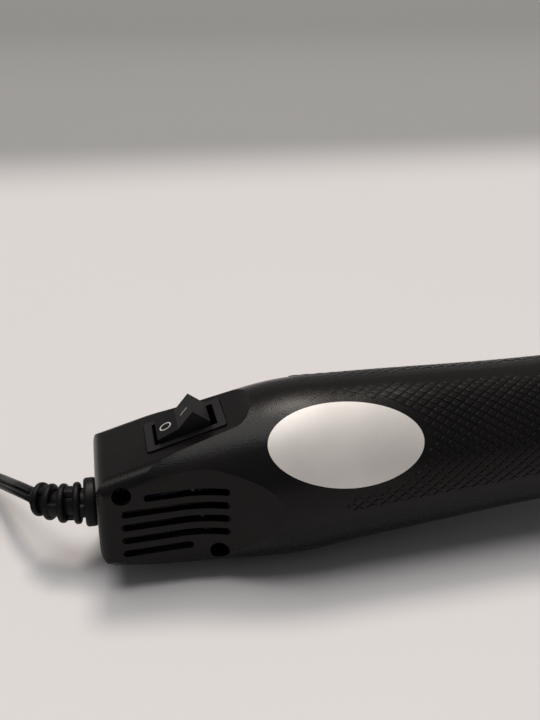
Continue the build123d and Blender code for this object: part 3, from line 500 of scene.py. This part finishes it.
cord = dict(
    diameter=0.0042,
    length=1.533,
    lobe=0.00135,
    lobeStart=-42.0,
    lobeSweep=264.0,
    lobeSteps=8,
    twist=41.0,
    twistEnd=40,
    splineOrder=3,
    splineSteps=4,
    leaving=[
        (-0.1316, 0.0067, 0.0170),
        (-0.1365, 0.0145, 0.0152),
        (-0.1403, 0.0230, 0.0118),
        (-0.1440, 0.0320, 0.0082),
        (-0.1495, 0.0410, 0.0052),
        (-0.1585, 0.0473, 0.0033),
        (-0.17225, 0.0500, 0.0029),
    ],
    coilCentre=(-0.184, 0.013),
    coilEntry=100.0,
    coilInner=0.0152,
    coilPitch=0.0048,
    coilTurns=4,
    coilClimb=0.5,
    coilReturn=4.5,
    coilLow=0.0029,
    coilStep=0.0047,
    coilDip=0.0014,
    pointsPerTurn=16,
    ending=[
        (-0.20122, 0.04733, 0.0076),
        (-0.2130, 0.0425, 0.0072),
        (-0.2220, 0.0355, 0.00685),
        (-0.22946, 0.02854, 0.00685),
    ],
)


def coilPoint(turn):
    # inward on the lower layer, up within half a turn, outward on the upper layer
    climb = min(max((turn - cord["coilTurns"]) / cord["coilClimb"], 0.0), 1.0)
    inward = min(turn, cord["coilTurns"])
    outward = max(turn - cord["coilTurns"] - cord["coilClimb"], 0.0)
    radius = cord["coilInner"] + cord["coilPitch"] * (cord["coilTurns"] - inward + outward)
    # control points lie outside the spline that they pull
    radius = (radius - cord["coilDip"] * sin(pi * climb) ** 2) / cos(pi / cord["pointsPerTurn"])
    angle = radians(cord["coilEntry"]) + 2 * pi * turn
    return (
        cord["coilCentre"][0] + radius * cos(angle),
        cord["coilCentre"][1] + radius * sin(angle),
        cord["coilLow"] + cord["coilStep"] * (1 - cos(pi * climb)) / 2,
    )


def splineLine(points):
    # points along an open NURBS spline through a control route
    curve = bpy.data.curves.new("route", "CURVE")
    curve.dimensions = "3D"
    curve.resolution_u = cord["splineSteps"]
    spline = curve.splines.new("NURBS")
    spline.points.add(len(points) - 1)
    for point, place in zip(spline.points, points):
        point.co = (*place, 1.0)
    spline.order_u = cord["splineOrder"]
    spline.use_endpoint_u = True
    holder = addObject("route", curve)
    bpy.context.view_layer.update()
    mesh = bpy.data.meshes.new_from_object(holder)
    line = [vertex.co.copy() for vertex in mesh.vertices]
    bpy.data.objects.remove(holder)
    bpy.data.meshes.remove(mesh)
    bpy.data.curves.remove(curve)
    return line


def flexSection():
    # twin flex: two lobes, one above the other, with a waist between
    middle = cord["diameter"] / 2 - cord["lobe"]
    spots = []
    for side, start in ((1, cord["lobeStart"]), (-1, cord["lobeStart"] + 180)):
        for step in range(cord["lobeSteps"] + 1):
            angle = radians(start + cord["lobeSweep"] * step / cord["lobeSteps"])
            spots.append((cord["lobe"] * cos(angle), side * middle + cord["lobe"] * sin(angle), 0))
    return spots


def makeCord():
    stops = cord["pointsPerTurn"]
    coilCount = round((cord["coilTurns"] + cord["coilClimb"] + cord["coilReturn"]) * stops)
    coil = [coilPoint((index + 0.5) / stops) for index in range(coilCount)]
    line = splineLine(cord["leaving"] + coil + cord["ending"])
    section = flexSection()
    bm = bmesh.new()
    loops = []
    for index, point in enumerate(line):
        before = line[max(index - 1, 0)]
        after = line[min(index + 1, len(line) - 1)]
        # the flex leaves the relief twisted, and lies upright further on
        lean = radians(cord["twist"]) * max(1 - index / cord["twistEnd"], 0)
        place = frameAt(point, after - before) @ Matrix.Rotation(lean, 4, "Z")
        loops.append(makeLoop(bm, place, section))
    joinLoops(bm, loops)
    bm.faces.new(loops[0])
    bm.faces.new(loops[-1])
    piece = makePiece("cordFlex", bm, finishes["flex black vinyl"], "housing")
    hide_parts("cord", "cord_coil", "cord_tail")
    return piece, line


cordFlex, cordLine = makeCord()
print("cord made,", len(cordLine), "stops")


# strain relief: flange, then rings joined by pairs of bridges that alternate

relief = dict(
    start=(-0.1192, 0.0, 0.0182),
    tip=(-0.1316, 0.0067, 0.0170),
    turnSteps=48,
    rimSteps=4,
    flangeRadius=0.0064,
    flangeBack=0.0032,
    flangeRound=0.0008,
    ringShares=(0.12, 0.375, 0.63, 0.885),
    ringRadii=(0.0055, 0.00515, 0.0048, 0.0045),
    ringThickness=0.0019,
    ringRound=0.0008,
    ringLean=0.55,
    sleeveRadii=(0.0033, 0.0027),
    sleeveStops=16,
    sleeveSteps=24,
    bridgeStart=-0.02,
    bridgeStops=3,
    bridgeWidth=0.0034,
    bridgeInset=0.0006,
    bridgeFoot=0.0022,
    bridgeShoulder=0.93,
    bridgeCrown=0.5,
)


def reliefPoint(share):
    # point and direction on the arc from the wall to the tip
    start = Vector(relief["start"])
    ahead = Vector((-1, 0, 0))
    chord = Vector(relief["tip"]) - start
    aside = (chord - ahead * chord.dot(ahead)).normalized()
    halfTurn = acos(chord.normalized().dot(ahead))
    radius = chord.length / (2 * sin(halfTurn))
    turn = 2 * halfTurn * share
    point = start + ahead * radius * sin(turn) + aside * radius * (1 - cos(turn))
    return point, ahead * cos(turn) + aside * sin(turn)


def addDisc(bm, point, direction, radius, thickness, rounding):
    # disc round the flex with rounded rims, its profile bore first
    bore, half = cord["diameter"] / 2, thickness / 2
    profile = [(bore, -half), (bore, half)]
    for start, middle in ((90, half - rounding), (0, rounding - half)):
        for step in range(relief["rimSteps"] + 1):
            angle = radians(start - 90 * step / relief["rimSteps"])
            spot = (radius - rounding + rounding * cos(angle), middle + rounding * sin(angle))
            profile.append(spot)
    turnProfile(bm, frameAt(point, direction), profile, relief["turnSteps"])


def addDiscs(bm):
    # flange against the rear wall, then the rings, which lean less than the relief bends
    rearward = Vector((-1, 0, 0))
    thickness = relief["flangeBack"]
    middle = Vector(relief["start"]) - rearward * thickness / 2
    addDisc(bm, middle, rearward, relief["flangeRadius"], thickness, relief["flangeRound"])
    for share, radius in zip(relief["ringShares"], relief["ringRadii"]):
        point, direction = reliefPoint(share)
        leaning = rearward.lerp(direction, relief["ringLean"])
        addDisc(bm, point, leaning, radius, relief["ringThickness"], relief["ringRound"])


def addSleeve(bm):
    # tapering sleeve round the flex
    first, last = relief["sleeveRadii"]
    loops = []
    for step in range(relief["sleeveStops"] + 1):
        share = step / relief["sleeveStops"]
        spots = circle(first * (1 - share) + last * share, relief["sleeveSteps"])
        loops.append(makeLoop(bm, frameAt(*reliefPoint(share)), spots))
    joinLoops(bm, loops)
    bm.faces.new(loops[-1])


def addBridges(bm):
    # bridges between rings, top and bottom, then left and right
    foot, halfWidth = relief["bridgeFoot"], relief["bridgeWidth"] / 2
    crown = relief["bridgeCrown"]
    shares = (relief["bridgeStart"],) + relief["ringShares"]
    radii = (relief["ringRadii"][0],) + relief["ringRadii"]
    for index in range(len(shares) - 1):
        reach = min(radii[index], radii[index + 1]) - relief["bridgeInset"]
        shoulder = reach * relief["bridgeShoulder"]
        feet = (-1, foot), (1, foot)
        section = (*feet, (1, shoulder), (crown, reach), (-crown, reach), (-1, shoulder))
        start, gap = shares[index], shares[index + 1] - shares[index]
        for side in (1, -1):
            spots = [(side * out, across * halfWidth, 0) for across, out in section]
            if index % 2:
                spots = [(second, first, 0) for first, second, _ in spots]
            loops = []
            for step in range(relief["bridgeStops"] + 1):
                place = frameAt(*reliefPoint(start + gap * step / relief["bridgeStops"]))
                loops.append(makeLoop(bm, place, spots))
            joinLoops(bm, loops)


def makeRelief():
    bm = bmesh.new()
    addDiscs(bm)
    addSleeve(bm)
    addBridges(bm)
    rubber = finishes["relief black rubber"]
    piece = makePiece("bendRelief", bm, rubber, "housing")
    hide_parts("strain_relief")
    return piece


bendRelief = makeRelief()
print("strain relief made")


# grip: raised rhombs on both sides of the barrel, none along the top, the belly and round the plate

grip = dict(
    length=0.0036,
    height=0.0026,
    groove=0.0005,
    endGroove=0.0006,
    rise=0.00026,
    peak=1.06,
    tiers=((1.0, -0.2), (0.95, 0.72), (0.88, 1.0), (0.8, 1.04)),
    barrelRadius=0.0215,
    rearHigh=-0.0625,
    rearLow=-0.0530,
    rearBow=0.6,
    front=0.0270,
    lowAngle=-6.0,
    rearHighAngle=84.0,
    frontHighAngle=77.0,
    narrowing=0.06,
    closing=0.72,
    closingWiden=0.13,
    closingSink=0.88,
    fadeFrom=0.75,
    fadeLeast=0.15,
    fade=0.02,
    rim=0.0008,
    rayStart=0.04,
    leastFacing=0.5,
)
plate = dict(x=-0.0537, height=0.0241, halfLength=0.02, halfHeight=0.011, angle=39.0, tilt=3.5)
probe = dict(aside=-0.0005, away=0.1)


def barrelHeight(x):
    # height of the barrel's middle, from the shell's own top and underside beside the seam
    top = shellTree.ray_cast(Vector((x, probe["aside"], probe["away"])), Vector((0, 0, -1)))[0]
    low = shellTree.ray_cast(Vector((x, probe["aside"], -probe["away"])), Vector((0, 0, 1)))[0]
    return (top.z + low.z) / 2


def insidePlate(point):
    # whether a rhomb at point would reach the plate's rim
    tilt, angle = radians(plate["tilt"]), radians(plate["angle"])
    offset = point - Vector((plate["x"], 0, plate["height"]))
    along, upward = offset.x, offset.dot(Vector((0, sin(angle), cos(angle))))
    turned = along * cos(tilt) - upward * sin(tilt), along * sin(tilt) + upward * cos(tilt)
    reach = grip["rim"] + grip["height"] / 2
    shares = turned[0] / (plate["halfLength"] + reach), turned[1] / (plate["halfHeight"] + reach)
    return shares[0] ** 2 + shares[1] ** 2 < 1


def insideGrip(x, turn, share):
    # the upper border falls towards the front, and the rear border is bowed
    high, frontHigh = radians(grip["rearHighAngle"]), radians(grip["frontHighAngle"])
    ahead = min(max((x - grip["rearHigh"]) / grip["narrowing"], 0), 1)
    rear = grip["rearLow"] + (grip["rearHigh"] - grip["rearLow"]) * share ** grip["rearBow"]
    return turn <= high + (frontHigh - high) * ahead and x >= rear


def rhombPlace(x, middle, turn, side):
    # matrix on the shell, X along the barrel and Z outward; None off the shell and at the plate
    outward = Vector((0, side * cos(turn), sin(turn)))
    start = Vector((x, 0, middle)) + outward * grip["rayStart"]
    hit, normal = shellTree.ray_cast(start, -outward)[:2]
    if hit is None or (side < 0 and insidePlate(hit)):
        return None
    slope = normal.x / max(normal.dot(outward), grip["leastFacing"])
    along = (Vector((1, 0, 0)) - outward * slope).normalized()
    normal = (outward - along * outward.dot(along)).normalized()
    return placeFrom(hit, along, normal.cross(along), normal)


def addRhomb(bm, place, widen, lift):
    loops = []
    for scale, rise in grip["tiers"]:
        long = (grip["length"] - grip["endGroove"]) / 2 * scale * widen
        high = (grip["height"] - grip["groove"]) / 2 * scale * widen
        corners = ((long, 0), (0, high), (-long, 0), (0, -high))
        loops.append(makeLoop(bm, place, [(x, y, rise * lift) for x, y in corners]))
    joinLoops(bm, loops)
    rim = loops[-1]
    peak = bm.verts.new(place @ Vector((0, 0, grip["peak"] * lift)))
    for index in range(len(rim)):
        bm.faces.new((rim[index], rim[(index + 1) % len(rim)], peak))


def makeGrip(name, side):
    bm = bmesh.new()
    stepX = grip["length"] / 2
    stepTurn = grip["height"] / 2 / grip["barrelRadius"]
    low, high = radians(grip["lowAngle"]), radians(grip["rearHighAngle"])
    count = 0
    for column in range(int((grip["front"] - grip["rearHigh"]) / stepX)):
        x = grip["rearHigh"] + column * stepX
        middle = barrelHeight(x)
        # every other row, so that the rhombs of two columns interlock
        for row in range(column % 2, int((high - low) / stepTurn) + 1, 2):
            turn = low + row * stepTurn
            share = (turn - low) / (high - low)
            if not insideGrip(x, turn, share):
                continue
            place = rhombPlace(x, middle, turn, side)
            if place is None:
                continue
            # towards the smooth top the grooves close and the rhombs sink in, most at the rear
            closing = max((share - grip["closing"]) / (1 - grip["closing"]), 0)
            lift = grip["rise"] * (1 - grip["closingSink"] * closing)
            if share > grip["fadeFrom"]:
                lift = lift * min(1, grip["fadeLeast"] + (x - grip["rearHigh"]) / grip["fade"])
            addRhomb(bm, place, 1 + grip["closingWiden"] * closing, lift)
            count += 1
    print(name, count, "rhombs")
    return makePiece(name, bm, finishes["grip black plastic"], "housing")


shellMesh = bmesh.new()
for shellName in ("right_shell", "left_shell", "rating_plate"):
    shellMesh.from_mesh(nodes[shellName].data)
shellTree = BVHTree.FromBMesh(shellMesh)
shellMesh.free()
makeGrip("gripRight", -1)
makeGrip("gripLeft", 1)


# switch marks, printed on the rocker's two faces

marks = dict(
    deckSlope=16.5,
    peak=(0.00575, 0.0051),
    dip=0.00385,
    ringRadius=0.00165,
    ringWidth=0.00036,
    ringSteps=40,
    barLength=0.0027,
    barWidth=0.00032,
    ringAlong=0.0032,
    barAlong=0.0031,
    aside=-0.0006,
    proud=0.00004,
)


def markPlace(end, along):
    # on a face of the rocker (end -1 rear, 1 front): X up the slope, from its foot at the dip
    hinge = next(joint for joint in frame["joints"] if joint["name"] == "rocker_switch")
    turn = radians(marks["deckSlope"] + hinge["range_deg"][1] / 2)
    pivot = Vector(hinge["pos_m"])
    ahead = Vector((cos(turn), 0, sin(turn)))
    above = Vector((-sin(turn), 0, cos(turn)))
    dip = pivot + above * marks["dip"]
    peak = pivot + ahead * end * marks["peak"][0] + above * marks["peak"][1]
    slope = (peak - dip).normalized()
    side = Vector((0, 1, 0))
    normal = slope.cross(side).normalized()
    if normal.dot(above) < 0:
        normal = -normal
    origin = dip + normal * marks["proud"] + side * marks["aside"]
    return placeFrom(origin + slope * along, slope, side, normal)


def makeMarks():
    bm = bmesh.new()
    place = markPlace(-1, marks["ringAlong"])
    radii = (marks["ringRadius"], marks["ringRadius"] - marks["ringWidth"])
    joinLoops(bm, [makeLoop(bm, place, circle(radius, marks["ringSteps"])) for radius in radii])
    place = markPlace(1, marks["barAlong"])
    bm.faces.new(makeLoop(bm, place, rectangle(marks["barLength"], marks["barWidth"])))
    white = finishes["printed white"]
    return makePiece("rockerMarks", bm, white, "rocker", smooth=False)


makeMarks()
print("switch marks made")


# table, light and camera

stage = dict(
    table=(0.8, 0.778, 0.782),
    mid=(0.37, 0.372, 0.372),
    far=(0.29, 0.292, 0.292),
    turns=(0.42, 0.66, 0.7, 3.0),
    roughness=0.6,
    gloss=0.2,
    cloudGloss=0.1,
    size=120.0,
)
lamps = dict(
    window=dict(toward=(-0.14, 0.0, 0.99), angle=40.0, strength=1.38, color=(1.0, 0.985, 0.97)),
    core=dict(toward=(0.08, 0.38, 0.92), angle=17.0, strength=1.25, color=(1.0, 0.91, 0.82)),
    room=dict(toward=(0.15, -0.62, 0.77), angle=70.0, strength=0.08, color=(1.0, 0.98, 0.96)),
)
surroundings = dict(
    light=(0.95, 0.97, 1.0, 1.0),
    strength=0.1,
    seen=(0.25, 0.243, 0.238, 1.0),
)
view = dict(
    place=(-0.11046, -0.19414, 0.14272),
    elevation=23.95,
    azimuth=-11.84,
    roll=0.16,
    lens=42.5,
    sensor=36.0,
    nearest=0.01,
)


def makeTable():
    # pale near the tool, greyer in two steps further back
    surface = Surface("table", stage["table"], stage["roughness"], gloss=stage["gloss"])
    cloud = surface.noise(*speckles["table"])
    away = surface.axis("Y")
    near, past, rise, end = stage["turns"]
    backdrop = surface.blend(surface.band(away, rise, end), stage["mid"], stage["far"])
    tone = surface.blend(surface.band(away, near, past), stage["table"], backdrop)
    surface.set("Base Color", tone)
    surface.set("Roughness", stage["roughness"] + around(cloud, stage["cloudGloss"]))
    bm = bmesh.new()
    bm.faces.new(makeLoop(bm, Matrix(), rectangle(stage["size"], stage["size"])))
    table = addObject("table", makeMesh("table", bm, surface.material))


def makeLamps():
    for name, lamp in lamps.items():
        light = bpy.data.lights.new(name, "SUN")
        light.angle = radians(lamp["angle"])
        light.energy = lamp["strength"]
        light.color = lamp["color"]
        holder = addObject(name, light)
        holder.rotation_euler = Vector(lamp["toward"]).to_track_quat("Z", "Y").to_euler()


def makeSurroundings():
    # the camera and reflections see the far end of the backdrop go on above the horizon
    world = bpy.data.worlds.new("soft room")
    bpy.context.scene.world = world
    world.use_nodes = True
    roomTree = ShaderTree(world.node_tree)
    light = roomTree.tree.nodes["Background"]
    roomTree.feed(light.inputs["Color"], surroundings["light"])
    roomTree.feed(light.inputs["Strength"], surroundings["strength"])
    backdrop = roomTree.node("ShaderNodeBackground", None, {"Color": surroundings["seen"]})
    share = roomTree.node("ShaderNodeLightPath", output="Is Camera Ray")
    for rays in ("Is Glossy Ray", "Is Transmission Ray"):
        share = share.math("MAXIMUM", share, roomTree.node("ShaderNodeLightPath", output=rays))
    inputs = {0: share, 1: Wire(roomTree, light.outputs[0]), 2: backdrop}
    mixed = roomTree.node("ShaderNodeMixShader", None, inputs)
    roomTree.feed(roomTree.tree.nodes["World Output"].inputs["Surface"], mixed)


def makeCamera():
    camera = bpy.data.cameras.new("camera")
    camera.lens = view["lens"]
    camera.sensor_width = view["sensor"]
    camera.clip_start = view["nearest"]
    holder = addObject("camera", camera)
    holder.location = view["place"]
    turned = Euler((radians(90 - view["elevation"]), 0, radians(view["azimuth"]))).to_matrix()
    holder.rotation_euler = (turned @ Matrix.Rotation(radians(view["roll"]), 3, "Z")).to_euler()
    return holder


makeTable()
makeLamps()
makeSurroundings()
bpy.context.scene.camera = makeCamera()
bpy.context.scene.view_settings.view_transform = "Standard"
print("table, light and camera set")
